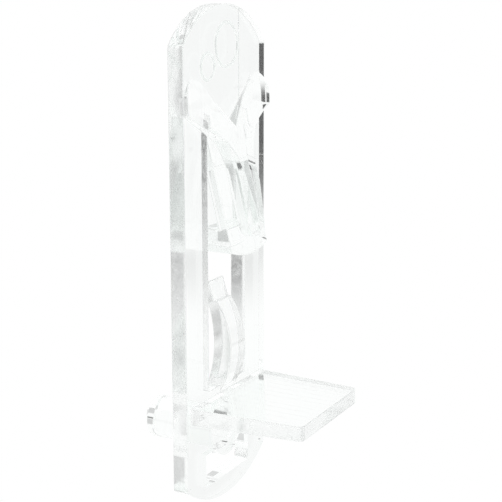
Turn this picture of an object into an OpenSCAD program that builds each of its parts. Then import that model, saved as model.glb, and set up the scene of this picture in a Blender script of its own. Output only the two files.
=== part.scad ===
// Locking shelf support pin, moulded in one piece.
//
// Frame: X across the back plate, Z up, -Y out of the cabinet wall.
// The origin is where the axis of the pin meets the back face of the plate.

/* [Back plate] */

// width of the back plate
plate_w = 18; // [16:0.5:26]
// thickness of the back plate
plate_t = 1.85; // [1.5:0.05:3]
// height above the pin axis at which the straight sides end
plate_top = 44.4; // [43:0.2:60]
// depth below the pin axis at which the straight sides end
plate_bottom = 4.4; // [3.6:0.2:10]
// rise of the crowned top end
crown_rise = 4.6; // [3:0.2:8]
// radius of the corners of the top end
crown_corner = 0.8; // [0.5:0.1:2.5]
// sag of the crowned bottom end
foot_sag = 3.5; // [2:0.1:5]
// radius of the corners of the bottom end
foot_corner = 0.6; // [0.3:0.1:1.5]

/* [Pin] */

// diameter of the pin, for the drilled hole in the cabinet side
pin_d = 5; // [4:0.1:7]
// length of the pin behind the plate
pin_l = 8.3; // [6:0.1:12]
// chamfer at the tip of the pin
pin_chamfer = 0.5; // [0.2:0.1:1]

/* [Ledge] */

// height of the ledge's top face above the pin axis
ledge_z = 5; // [4.4:0.1:8]
// reach of the ledge from the front of the plate
ledge_depth = 13.3; // [8:0.1:16]
// how far the root of the ledge stops short of each side of the plate
ledge_inset = 0.9; // [0.4:0.1:3]
// how much each side of the ledge draws in towards its front edge
ledge_draw = 0.75; // [0:0.05:1.5]
// thickness of the ledge at the plate
ledge_root_t = 1.9; // [1.7:0.1:3]
// thickness of the ledge at its front edge
ledge_tip_t = 1.65; // [1.2:0.05:1.7]
// radius of the ledge's front corners
ledge_corner = 0.8; // [0.4:0.1:2]

/* [Window] */

// width of the window in the plate
window_w = 8.4; // [7.5:0.1:10]
// height of the window's sill above the ledge
sill_rise = 0.9; // [0.5:0.1:2]
// height of the window's head above the pin axis
window_top = 37; // [35.5:0.1:41]

// depth of the relief behind the tongue and up the back of the plate to its top end
relief_t = 0.1; // [0.05:0.05:0.4]

/* [Foot opening] */

// width of the opening under the pin
foot_window_w = 9.9; // [6:0.1:12]
// depth of its top edge below the pin axis
foot_window_top = 1.6; // [1.4:0.1:2.4]
// height of the opening
foot_window_h = 3.9; // [3:0.1:4.2]
// plate left round the root of the pin
pin_collar = 0.6; // [0.3:0.1:1]

/* [Catch] */

// free height between the ledge and the middle of the catch, for the board
board_gap = 16.5; // [15.5:0.1:21]
// gap between each side of the wedge and the window
wedge_gap = 0.1; // [0.1:0.05:0.8]
// how far the catch stands out from the plate
wedge_reach = 3.2; // [1.5:0.1:5]
// crown of the catch's underside, lowest in its middle
catch_crown = 0.7; // [0.2:0.1:1]
// height below the window's head at which the wedge leaves the plate
wedge_drop = 2.6; // [1.5:0.1:4]
// wall in front of the pocket behind the wedge
wedge_wall = 1.4; // [1:0.1:2]
// cheeks on both sides of that pocket
wedge_cheek = 1; // [0.8:0.1:1.6]
// floor of the pocket, over the catch
wedge_floor = 2.9; // [1.6:0.1:3.5]
// length of the solid neck between the pocket and the window's head
wedge_neck = 6; // [4:0.1:9]

/* [Spring leaf] */

// width of the leaf
leaf_w = 3.3; // [2:0.1:4]
// height of the bowed part above the ledge
leaf_h = 10.8; // [8:0.1:12]
// how far the bow stands out from the plate
leaf_reach = 1.45; // [0.8:0.05:2.5]
// how far the ends of the bow lie behind the face of the plate
leaf_tuck = 0.4; // [0.2:0.05:0.8]
// how far the leaf stays in front of the plate's back
leaf_clear = 0.2; // [0.1:0.05:0.5]
// hollow behind the bow
leaf_hollow = 0.85; // [0.5:0.05:1.1]
// height of the tapered tip
leaf_tip_h = 2.2; // [1:0.1:3]
// step from the bow back to the tip
leaf_step = 0.4; // [0.2:0.05:0.6]
// thickness left at the end of the tip
leaf_tip_t = 0.15; // [0.1:0.05:0.4]

/* [Release tab] */

// width of the rib down the middle of the wedge
rib_w = 2.8; // [2:0.1:4]
// how far the foot of the rib stands out from the plate
rib_reach = 4.65; // [4:0.05:7]
// height of the rib's foot above the catch
rib_foot_rise = 2; // [1.2:0.1:3]
// height of the upright face at the rib's foot
rib_land = 1.1; // [0.5:0.1:2]
// crown of the rib's face along its length
rib_crown = 0.38; // [0.1:0.02:0.8]
// how far the bottom of the notch between the ears stands out from the plate
notch_reach = 1.25; // [0.8:0.05:2]
// depth of that notch below the window's head
notch_drop = 1.3; // [0.5:0.1:2]
// height of the ears' tips above the window's head
ear_tip_rise = 4.5; // [3.5:0.1:5.5]
// distance between the two tips
ear_tip_span = 12.4; // [10:0.1:14]
// radius of the ears' outer corners
ear_corner = 2.8; // [1.5:0.1:3]
// how far the ears stand past the sides of the plate
ear_overhang = 0.1; // [0:0.05:1]
// height of the ears' lower corners above the window's head
ear_foot_rise = 0.5; // [0:0.1:1.5]
// fall of the ears' lower edges towards the rib, in degrees
ear_fall = 26.6; // [20:0.5:35]
// radius where those edges run into the rib
tab_fillet = 5.2; // [3:0.1:6]
// how far the outer ends of the ears stand out from the plate
ear_reach = 0.7; // [0.5:0.05:1.5]
// height of the upright face at the ears' ends
ear_land = 0.6; // [0.2:0.1:1.5]
// crown of the ears' faces above that
ear_crown = 0.15; // [0.05:0.05:0.4]
// turn of each ear's face towards the middle, in degrees
ear_splay = 3.3; // [0:0.1:6]
// radius of the finger scoops beside the rib
scoop_r = 8.7; // [6:0.1:12]
// distance of each scoop's deepest line from the end of its ear
scoop_inset = 1.3; // [0:0.1:2.5]

/* [Hidden] */

// smoothness of curves
$fn = 96;
// overlap that joins one feature to the next
bite = 0.4;
// board side of the plate
face_y = -plate_t;
// height of the catch's underside
catch_z = ledge_z + board_gap;
// sill of the window
sill_z = ledge_z + sill_rise;
// half the width of the wedge
wedge_side = window_w / 2 - wedge_gap;
// front edge of the catch
wedge_y = face_y - wedge_reach;
// height at which the wedge's face leaves the plate
wedge_head = window_top - wedge_drop;
// slope of that face
wedge_fall = wedge_reach / (wedge_head - catch_z);
// back of the spring leaf
leaf_y = -leaf_clear;
// top of the leaf's bow
leaf_z = ledge_z + leaf_h;
// half the span over the ears
ear_side = plate_w / 2 + ear_overhang;
// lower end of the rib
rib_z = catch_z + rib_foot_rise;
// bottom of the notch between the ears
notch_z = window_top - notch_drop;
// tips and lower corners of the ears
tip_z = window_top + ear_tip_rise;
ear_z = window_top + ear_foot_rise;

// centre of the circle through a and b whose arc stands off the chord by rise
function arc_centre(a, b, rise) =
    let (chord = norm(b - a), along = (b - a) / chord)
    (a + b) / 2 + [along.y, -along.x] * (rise / 2 - chord * chord / 8 / rise);

// area between the chord from a to b and an arc that stands off it by rise
module bow(a, b, rise) {
    centre = arc_centre(a, b, rise);
    out = sign(rise) * [(b - a).y, -(b - a).x];
    intersection() {
        translate(centre)
            circle(norm(a - centre));
        polygon([a, b, b + out, a + out]);
    }
}

// half-open end of the plate: two corner arcs that run into one crown arc
module crowned_end(rise, corner) {
    side = plate_w / 2 - corner;
    lift = rise - corner;
    drop = (side * side - lift * lift) / (2 * lift);
    crown = rise + drop;
    turn = atan2(drop, side);
    far = 2 * crown;
    intersection() {
        translate([0, -drop])
            circle(crown);
        polygon([
            [0, -drop],
            [far * cos(turn), far * sin(turn) - drop],
            [-far * cos(turn), far * sin(turn) - drop]
        ]);
    }
    for (s = [-1, 1])
        intersection() {
            translate([s * side, 0])
                circle(corner);
            polygon([
                [s * side, 0],
                [s * (side + 2 * corner), 0],
                [s * (side + 2 * corner * cos(turn)), 2 * corner * sin(turn)]
            ]);
        }
}

module plate_outline() {
    translate([-plate_w / 2, -plate_bottom])
        square([plate_w, plate_top + plate_bottom]);
    translate([0, plate_top])
        crowned_end(crown_rise, crown_corner);
    translate([0, -plate_bottom])
        mirror([0, 1])
            crowned_end(foot_sag, foot_corner);
}

module window_outline() {
    translate([-window_w / 2, sill_z])
        square([window_w, window_top - sill_z]);
}

module foot_window_outline() {
    difference() {
        translate([-foot_window_w / 2, -foot_window_top - foot_window_h])
            square([foot_window_w, foot_window_h]);
        circle(pin_d / 2 + pin_collar);
    }
}

// stands an outline drawn in X and Z up, from y0 back to y1
module upright(y0, y1) {
    translate([0, y1, 0])
        rotate([90, 0, 0])
            linear_extrude(y1 - y0)
                children();
}

// sweeps an outline drawn in Y and Z across the width w
module across(w) {
    translate([-w / 2, 0, 0])
        rotate([90, 0, 90])
            linear_extrude(w)
                children();
}

// plate with its two openings, and a shallow relief that thins the root of the tongue
module plate() {
    difference() {
        upright(face_y, 0)
            difference() {
                plate_outline();
                window_outline();
                foot_window_outline();
            }
        translate([-window_w / 2, -relief_t, window_top - bite])
            cube([window_w, relief_t + bite, plate_top + crown_rise - window_top + 2 * bite]);
    }
}

module pin() {
    rotate([-90, 0, 0])
        rotate_extrude()
            polygon([
                [0, -bite],
                [pin_d / 2, -bite],
                [pin_d / 2, pin_l - pin_chamfer],
                [pin_d / 2 - pin_chamfer, pin_l],
                [0, pin_l]
            ]);
}

module ledge() {
    root = plate_w / 2 - ledge_inset;
    tip = root - ledge_draw;
    tip_y = face_y - ledge_depth;
    intersection() {
        translate([0, 0, ledge_z - 2 * ledge_root_t])
            linear_extrude(4 * ledge_root_t) {
                polygon([
                    [-root, face_y + bite],
                    [-root, face_y],
                    [-tip, tip_y + ledge_corner],
                    [tip, tip_y + ledge_corner],
                    [root, face_y],
                    [root, face_y + bite]
                ]);
                translate([-tip + ledge_corner, tip_y])
                    square([2 * (tip - ledge_corner), 2 * ledge_corner]);
                for (s = [-1, 1])
                    translate([s * (tip - ledge_corner), tip_y + ledge_corner])
                        circle(ledge_corner);
            }
        across(plate_w)
            polygon([
                [face_y + bite, ledge_z],
                [face_y + bite, ledge_z - ledge_root_t],
                [tip_y - bite, ledge_z - ledge_tip_t],
                [tip_y - bite, ledge_z]
            ]);
    }
}

// leaf that stands on the ledge in the window: a bow with a tapered tip, free at the top
module spring_leaf() {
    front_y = face_y + leaf_tuck;
    foot_z = ledge_z - bite;
    across(leaf_w) {
        difference() {
            union() {
                polygon([[front_y, foot_z], [leaf_y, foot_z], [leaf_y, leaf_z], [front_y, leaf_z]]);
                bow([front_y, foot_z], [front_y, leaf_z], -leaf_reach - leaf_tuck);
            }
            bow([leaf_y, sill_z], [leaf_y, leaf_z], -leaf_hollow);
        }
        polygon([
            [front_y + leaf_step, leaf_z],
            [leaf_y - leaf_tip_t, leaf_z + leaf_tip_h],
            [leaf_y, leaf_z + leaf_tip_h],
            [leaf_y, leaf_z - bite],
            [front_y + leaf_step, leaf_z - bite]
        ]);
    }
}

// sloping wedge that snaps over the board, with a crowned underside
module wedge() {
    corner_z = catch_z + catch_crown;
    head_z = window_top + bite;
    intersection() {
        across(2 * wedge_side + 2 * bite)
            polygon([
                [wedge_y - wedge_fall * bite, catch_z - bite],
                [face_y, wedge_head],
                [face_y, head_z],
                [-relief_t, head_z],
                [-relief_t, catch_z - bite]
            ]);
        upright(wedge_y - 2 * bite, bite) {
            translate([-wedge_side, corner_z])
                square([2 * wedge_side, head_z + bite - corner_z]);
            bow([-wedge_side, corner_z], [wedge_side, corner_z], catch_crown);
        }
    }
}

// pocket behind the wedge and its rib, open at the back
module pocket() {
    floor_z = catch_z + wedge_floor;
    neck_z = window_top - wedge_neck;
    wall_y = wedge_y + wedge_wall;
    across(2 * (wedge_side - wedge_cheek))
        polygon([
            [wall_y + wedge_fall * wedge_floor, floor_z],
            [wall_y + wedge_fall * (neck_z - catch_z), neck_z],
            [bite, neck_z],
            [bite, floor_z]
        ]);
}

// outline of the release tab: rib, arms and ears
module tab_outline() {
    root = rib_w / 2;
    run = ear_side - root;
    corner_z = ear_z - run * tan(ear_fall);
    set = tab_fillet * tan(45 - ear_fall / 2);
    corner = min(ear_corner, ear_side - ear_tip_span / 2 - bite / 4);
    ear_c = [ear_side - corner, tip_z - corner];
    translate([0, rib_z + root])
        circle(root);
    translate([-root, rib_z + root])
        square([rib_w, corner_z - rib_z]);
    for (s = [0, 1])
        mirror([s, 0]) {
            polygon([
                [0, corner_z],
                [root, corner_z],
                [ear_side, ear_z],
                [ear_side, ear_c.y],
                [ear_c.x, ear_c.y],
                [ear_c.x, tip_z],
                [ear_tip_span / 2, tip_z],
                [0, notch_z]
            ]);
            intersection() {
                translate(ear_c)
                    circle(corner);
                translate(ear_c)
                    square(corner);
            }
            difference() {
                polygon([
                    [root, corner_z - set],
                    [root - bite, corner_z - set],
                    [root - bite, corner_z + bite],
                    [root + set * cos(ear_fall), corner_z + set * sin(ear_fall) + bite],
                    [root + set * cos(ear_fall), corner_z + set * sin(ear_fall)]
                ]);
                translate([root + tab_fillet, corner_z - set])
                    circle(tab_fillet);
            }
        }
}

// face of the rib and its arms, sloping back to the notch, with a scoop on each side
module rib_block() {
    foot_y = face_y - rib_reach;
    notch_y = face_y - notch_reach;
    rise_y = (notch_y - foot_y) / (notch_z - rib_z - rib_land);
    head_z = tip_z + bite;
    head_y = notch_y + rise_y * (head_z - notch_z);
    back_y = max(face_y, head_y) + 2 * bite;
    side = ear_side + bite;
    foot = [foot_y, rib_z + rib_land];
    notch = [notch_y, notch_z];
    middle = (foot + notch) / 2;
    centre = arc_centre(foot, notch, -rib_crown);
    intersection() {
        across(2 * side)
            intersection() {
                translate([foot_y, rib_z - bite])
                    square([back_y - foot_y, head_z - rib_z + bite]);
                union() {
                    translate(centre)
                        circle(norm(foot - centre));
                    polygon([middle, [head_y, head_z], [back_y, head_z], [back_y, middle.y]]);
                }
            }
        translate([0, 0, rib_z - 2 * bite])
            linear_extrude(head_z - rib_z + 3 * bite)
                difference() {
                    translate([-side - bite, foot_y - bite])
                        square([2 * side + 2 * bite, rib_reach + 4 * bite]);
                    for (s = [-1, 1])
                        translate([s * (ear_side - scoop_inset), face_y - ear_reach - scoop_r])
                            circle(scoop_r);
                }
    }
}

// face of the two ears, upright at the foot and running back into the plate
module ear_block() {
    ear_y = face_y - ear_reach;
    foot = [ear_y, ear_z + ear_land];
    head = [face_y, tip_z];
    centre = arc_centre(foot, head, -ear_crown);
    for (s = [-1, 1])
        translate([s * ear_side, 0, 0])
            rotate([0, 0, -s * ear_splay])
                translate([-s * ear_side / 2, 0, 0])
                    across(ear_side + 2 * bite)
                        intersection() {
                            translate([ear_y, rib_z - bite])
                                square([ear_reach + 3 * bite, tip_z - rib_z + 2 * bite]);
                            union() {
                                translate([ear_y, rib_z - bite])
                                    square([ear_reach + 3 * bite, foot.y - rib_z + bite]);
                                translate(centre)
                                    circle(norm(foot - centre));
                            }
                        }
}

module release_tab() {
    intersection() {
        upright(face_y - rib_reach - bite, face_y + bite)
            tab_outline();
        union() {
            rib_block();
            ear_block();
        }
    }
}

module shelf_clip() {
    color([0.86, 0.9, 0.88, 0.5]) {
        difference() {
            union() {
                plate();
                wedge();
                release_tab();
            }
            pocket();
        }
        pin();
        ledge();
        spring_leaf();
    }
}

shelf_clip();
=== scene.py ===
import bpy
import math
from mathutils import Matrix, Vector


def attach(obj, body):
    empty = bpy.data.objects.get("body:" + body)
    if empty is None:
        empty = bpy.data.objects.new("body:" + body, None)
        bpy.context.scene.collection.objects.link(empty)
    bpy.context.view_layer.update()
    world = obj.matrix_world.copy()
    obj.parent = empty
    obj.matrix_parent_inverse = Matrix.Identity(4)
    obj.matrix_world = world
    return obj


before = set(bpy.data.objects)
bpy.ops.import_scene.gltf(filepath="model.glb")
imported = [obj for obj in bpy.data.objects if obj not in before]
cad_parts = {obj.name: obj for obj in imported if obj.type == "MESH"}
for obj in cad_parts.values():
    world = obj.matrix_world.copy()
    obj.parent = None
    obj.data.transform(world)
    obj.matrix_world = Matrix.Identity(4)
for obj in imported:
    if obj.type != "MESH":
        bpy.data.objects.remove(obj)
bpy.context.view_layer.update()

for loaded in list(bpy.context.selected_objects):
    loaded.select_set(False)


# Shelf clip: one shot of clear plastic with a faint grey-green cast, from a polished steel mould.
# Its faces come out glossy. The walls that drag along the steel as the mould opens come out a little
# mottled.
def math_step(tree, operation, *values):
    step = tree.nodes.new("ShaderNodeMath")
    step.operation = operation
    for socket, value in zip(step.inputs, values):
        if isinstance(value, (int, float)):
            socket.default_value = value
        else:
            tree.links.new(value, socket)
    return step.outputs[0]


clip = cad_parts["shelf_clip"]
clear_plastic = bpy.data.materials.new("clear_plastic")
clear_plastic.use_nodes = True
plastic = clear_plastic.node_tree
shader = plastic.nodes["Principled BSDF"]
shader.inputs["Base Color"].default_value = (0.975, 0.99, 0.983, 1)
shader.inputs["IOR"].default_value = 1.5
shader.inputs["Transmission Weight"].default_value = 1
place = plastic.nodes.new("ShaderNodeTexCoord")
axes = plastic.nodes.new("ShaderNodeSeparateXYZ")
plastic.links.new(place.outputs["Object"], axes.inputs["Vector"])
across, out, up = axes.outputs
off_centre = math_step(plastic, "ABSOLUTE", across)

# the upright drawn walls: the sides of the window and of the spring leaf, and the clip's left side
window_side = 0.00420
leaf_side = 0.00165
plate_side = -0.00898
reach = 0.00003
drawn = math_step(plastic, "COMPARE", off_centre, window_side, reach)
on_leaf = math_step(plastic, "COMPARE", off_centre, leaf_side, reach)
drawn = math_step(plastic, "MAXIMUM", drawn, on_leaf)
on_plate_side = math_step(plastic, "LESS_THAN", across, plate_side)
drawn = math_step(plastic, "MAXIMUM", drawn, on_plate_side)

# the crown, a wide arc about a point inside the head
crown_centre = 0.0379
crown_radius = 0.0111
crown_rise = math_step(plastic, "SUBTRACT", up, crown_centre)
crown_rise = math_step(plastic, "POWER", crown_rise, 2)
crown_run = math_step(plastic, "POWER", off_centre, 2)
from_crown = math_step(plastic, "SQRT", math_step(plastic, "ADD", crown_rise, crown_run))
on_crown = math_step(plastic, "COMPARE", from_crown, crown_radius, reach)
drawn = math_step(plastic, "MAXIMUM", drawn, on_crown)

# the ledge's rim: its sides, which draw in towards the front, its front and its round corners
ledge_draw_in = -0.06
corner_aside = 0.007411
corner_ahead = -0.01435
rim_start = 0.00077
rim_back = -0.0021
rim_top = 0.0055
aside = math_step(plastic, "MULTIPLY_ADD", out, ledge_draw_in, off_centre)
aside = math_step(plastic, "SUBTRACT", aside, corner_aside)
aside = math_step(plastic, "MAXIMUM", aside, 0)
ahead = math_step(plastic, "MULTIPLY_ADD", out, -1, corner_ahead)
ahead = math_step(plastic, "MAXIMUM", ahead, 0)
aside = math_step(plastic, "POWER", aside, 2)
ahead = math_step(plastic, "POWER", ahead, 2)
from_corner = math_step(plastic, "SQRT", math_step(plastic, "ADD", aside, ahead))
rim = math_step(plastic, "GREATER_THAN", from_corner, rim_start)
before_plate = math_step(plastic, "LESS_THAN", out, rim_back)
below_top = math_step(plastic, "LESS_THAN", up, rim_top)
rim = math_step(plastic, "MULTIPLY", rim, before_plate)
rim = math_step(plastic, "MULTIPLY", rim, below_top)
drawn = math_step(plastic, "MAXIMUM", drawn, rim)

# the mottle lies on the drawn walls only, and the rest keeps the steel's polish
polish = 0.02
mottle_depth = 0.3
mottle_base = 0.05
mottle = plastic.nodes.new("ShaderNodeTexNoise")
mottle.inputs["Scale"].default_value = 1500
mottle.inputs["Detail"].default_value = 3
plastic.links.new(place.outputs["Object"], mottle.inputs["Vector"])
drag = math_step(plastic, "MULTIPLY_ADD", mottle.outputs["Fac"], mottle_depth, mottle_base)
dullness = math_step(plastic, "MULTIPLY_ADD", drag, drawn, polish)
plastic.links.new(dullness, shader.inputs["Roughness"])

# the edges are softened as moulded edges are, but for those low on the clip, which stay crisp
crisp_below = 0.0026
edge_radius = 0.0002
above_foot = math_step(plastic, "GREATER_THAN", up, crisp_below)
soft_edge = plastic.nodes.new("ShaderNodeBevel")
soft_edge.samples = 8
rounding = math_step(plastic, "MULTIPLY", above_foot, edge_radius)
plastic.links.new(rounding, soft_edge.inputs["Radius"])
plastic.links.new(soft_edge.outputs["Normal"], shader.inputs["Normal"])

clip.data.materials.clear()
clip.data.materials.append(clear_plastic)


# Head rings: two plain rings of the same clear plastic, moulded in one with the plate's head.
# Each is a fine raised bead, left by a groove round an insert in the steel. Its back is cut off just
# inside the plate, and closed.
plate_front = -0.00185
bead_radius = 0.0002
ring_bed = -0.0018
cut_snap = 0.0000001
for ring_name, ring_x, ring_z, ring_radius in (
        ("large_ring", 0.00013, 0.0446, 0.0024),
        ("small_ring", -0.0040, 0.0424, 0.0014)):
    bpy.ops.mesh.primitive_torus_add(
        major_segments=96, minor_segments=12,
        major_radius=ring_radius, minor_radius=bead_radius,
        location=(ring_x, plate_front, ring_z), rotation=(math.pi / 2, 0, 0))
    ring = bpy.context.view_layer.objects.active
    ring.name = ring_name
    bpy.ops.object.transform_apply(location=True, rotation=True, scale=True)
    bpy.ops.object.mode_set(mode="EDIT")
    bpy.ops.mesh.select_all(action="SELECT")
    bpy.ops.mesh.bisect(
        plane_co=(0, ring_bed, 0), plane_no=(0, 1, 0), clear_outer=True, threshold=cut_snap)
    bpy.ops.mesh.bridge_edge_loops()
    bpy.ops.object.mode_set(mode="OBJECT")
    bpy.ops.object.shade_smooth_by_angle(angle=math.radians(30))
    ring.data.materials.append(clear_plastic)
    ring.select_set(False)
    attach(ring, "root")


# Studio floor: a round table top, painted matt white. It lies level and well below the clip, which
# hangs clear of it in the air.
bpy.ops.mesh.primitive_circle_add(
    vertices=128, radius=0.2, fill_type="NGON", location=(0, 0, -0.12))
table = bpy.context.view_layer.objects.active
table.name = "table"
bpy.ops.object.transform_apply(location=True, rotation=True, scale=True)
white_table = bpy.data.materials.new("white_table")
white_table.use_nodes = True
table_tree = white_table.node_tree
paint = table_tree.nodes["Principled BSDF"]
paint.inputs["Base Color"].default_value = (0.97, 0.97, 0.97, 1)
paint.inputs["Roughness"].default_value = 0.9
paint.inputs["Specular IOR Level"].default_value = 0.1
paint.inputs["Emission Color"].default_value = (1, 1, 1, 1)

# a small lift makes the table as white as the dome to the camera and through the plastic
lift_strength = 0.08
rays = table_tree.nodes.new("ShaderNodeLightPath")
seen = math_step(
    table_tree, "MAXIMUM", rays.outputs["Is Glossy Ray"], rays.outputs["Is Transmission Ray"])
seen = math_step(table_tree, "MAXIMUM", rays.outputs["Is Camera Ray"], seen)
lift = math_step(table_tree, "MULTIPLY", seen, lift_strength)
table_tree.links.new(lift, paint.inputs["Emission Strength"])
table.data.materials.append(white_table)
table.select_set(False)


# Studio screen: a glowing ring far round the clip, out of the picture, with light and shade painted
# into its glow. It glows white behind the clip, pale at the sides and grey at the front right, with
# painted shade as a black patch to the left and a dark one low at the front right, which show as dark
# lines and greys where the clip's walls mirror them.
def blend(tree, value, start, end, from_level, to_level):
    step = tree.nodes.new("ShaderNodeMapRange")
    step.interpolation_type = "SMOOTHSTEP"
    for name, level in (
            ("From Min", start), ("From Max", end), ("To Min", from_level), ("To Max", to_level)):
        step.inputs[name].default_value = level
    tree.links.new(value, step.inputs["Value"])
    return step.outputs[0]


bpy.ops.mesh.primitive_cylinder_add(
    vertices=128, radius=4, depth=6.4, end_fill_type="NOTHING", location=(0, 0, 0))
screen = bpy.context.view_layer.objects.active
screen.name = "screen"
screen.visible_camera = False
# the screen's glow: painted light and shade standing in for the room round the clip
screen_painted_light = bpy.data.materials.new("screen_painted_light")
screen_painted_light.use_nodes = True
panels = screen_painted_light.node_tree
panels.nodes.clear()
panel_output = panels.nodes.new("ShaderNodeOutputMaterial")
glow = panels.nodes.new("ShaderNodeEmission")
panels.links.new(glow.outputs[0], panel_output.inputs["Surface"])

# the way to each point of the screen: how high it lies, and its compass direction as a level vector
panel_place = panels.nodes.new("ShaderNodeTexCoord")
panel_way = panels.nodes.new("ShaderNodeVectorMath")
panel_way.operation = "NORMALIZE"
panels.links.new(panel_place.outputs["Object"], panel_way.inputs[0])
way_axes = panels.nodes.new("ShaderNodeSeparateXYZ")
panels.links.new(panel_way.outputs[0], way_axes.inputs["Vector"])
way_right, way_back, way_up = way_axes.outputs
up_squared = math_step(panels, "MULTIPLY", way_up, way_up)
level_part = math_step(panels, "SQRT", math_step(panels, "SUBTRACT", 1, up_squared))
way_right = math_step(panels, "DIVIDE", way_right, level_part)
way_back = math_step(panels, "DIVIDE", way_back, level_part)

# white behind the clip, near the floor and towards the ceiling
wall_right, wall_back = 0.8787, 0.4773
to_wall = math_step(panels, "MULTIPLY", way_back, wall_back)
to_wall = math_step(panels, "MULTIPLY_ADD", way_right, wall_right, to_wall)
white_wall = blend(panels, to_wall, 0.45, 0.75, 0, 1)
white_floor = blend(panels, way_up, -0.235, -0.12, 1, 0)
white_ceiling = blend(panels, way_up, -0.02, 0.04, 0, 1)
white_part = math_step(panels, "MAXIMUM", white_floor, white_ceiling)
white_part = math_step(panels, "MAXIMUM", white_wall, white_part)

# painted shade: grey glow at the front right, pale at the sides and black opposite the grey
front_right, front_back = 0.9063, -0.4226
to_front = math_step(panels, "MULTIPLY", way_back, front_back)
to_front = math_step(panels, "MULTIPLY_ADD", way_right, front_right, to_front)
grey_painted_shade = blend(panels, to_front, 0.88, 0.95, 0.72, 0.6)
black_painted_shade = blend(panels, to_front, -0.988, -0.95, 0.02, 1)
ends = math_step(panels, "MULTIPLY", grey_painted_shade, black_painted_shade)
above_ends = math_step(panels, "SUBTRACT", 1, ends)
panel_level = math_step(panels, "MULTIPLY_ADD", white_part, above_ends, ends)

# painted shade: a dark band low at the front right, and painted shade dimming the edge of the floor
# below it
low_painted_shade = blend(panels, to_front, 0.978, 0.995, 0, 0.95)
low_painted_shade_top = blend(panels, way_up, -0.218, -0.192, 1, 0)
low_painted_shade_foot = blend(panels, way_up, -0.27, -0.215, 0, 1)
low_painted_shade = math_step(panels, "MULTIPLY", low_painted_shade, low_painted_shade_top)
low_painted_shade = math_step(panels, "MULTIPLY", low_painted_shade, low_painted_shade_foot)
painted_floor_shade = blend(panels, to_front, 0.85, 0.95, 0, 0.35)
painted_floor_shade_top = blend(panels, way_up, -0.375, -0.34, 1, 0)
painted_floor_shade = math_step(panels, "MULTIPLY", painted_floor_shade, painted_floor_shade_top)
shade = math_step(panels, "MAXIMUM", low_painted_shade, painted_floor_shade)
lit = math_step(panels, "SUBTRACT", 1, shade)
strength = math_step(panels, "MULTIPLY", panel_level, lit)
panels.links.new(strength, glow.inputs["Strength"])
screen.data.materials.append(screen_painted_light)
screen.select_set(False)


# Studio light: one even white dome all round. It lights the table and is the plain background, and
# the screen stands inside it.
dome = bpy.data.worlds.new("dome")
bpy.context.scene.world = dome
dome.use_nodes = True
sky = dome.node_tree.nodes["Background"]
sky.inputs["Color"].default_value = (1, 1, 1, 1)
sky.inputs["Strength"].default_value = 1


# Camera: level with the top of the clip, in front of it and to its left. It looks a little down, through
# a long lens.
camera = bpy.data.objects.new("camera", bpy.data.cameras.new("camera"))
bpy.context.collection.objects.link(camera)
bpy.context.scene.camera = camera
camera.data.lens = 83.83
camera.data.sensor_width = 36
camera.data.clip_start = 0.001
azimuth = math.radians(-61.516)
elevation = math.radians(12.386)
back = Vector((
    math.sin(azimuth) * math.cos(elevation),
    -math.cos(azimuth) * math.cos(elevation),
    math.sin(elevation)))
camera.rotation_mode = "QUATERNION"
camera.location = (-0.112916, -0.066259, 0.049965)
camera.rotation_quaternion = (-back).to_track_quat("-Z", "Y")

# light passes many walls of clear plastic before it leaves the clip
wall_bounces = 64
bpy.context.scene.cycles.max_bounces = wall_bounces
bpy.context.scene.cycles.transmission_bounces = wall_bounces
bpy.context.scene.cycles.glossy_bounces = wall_bounces
bpy.context.scene.view_settings.view_transform = "Standard"
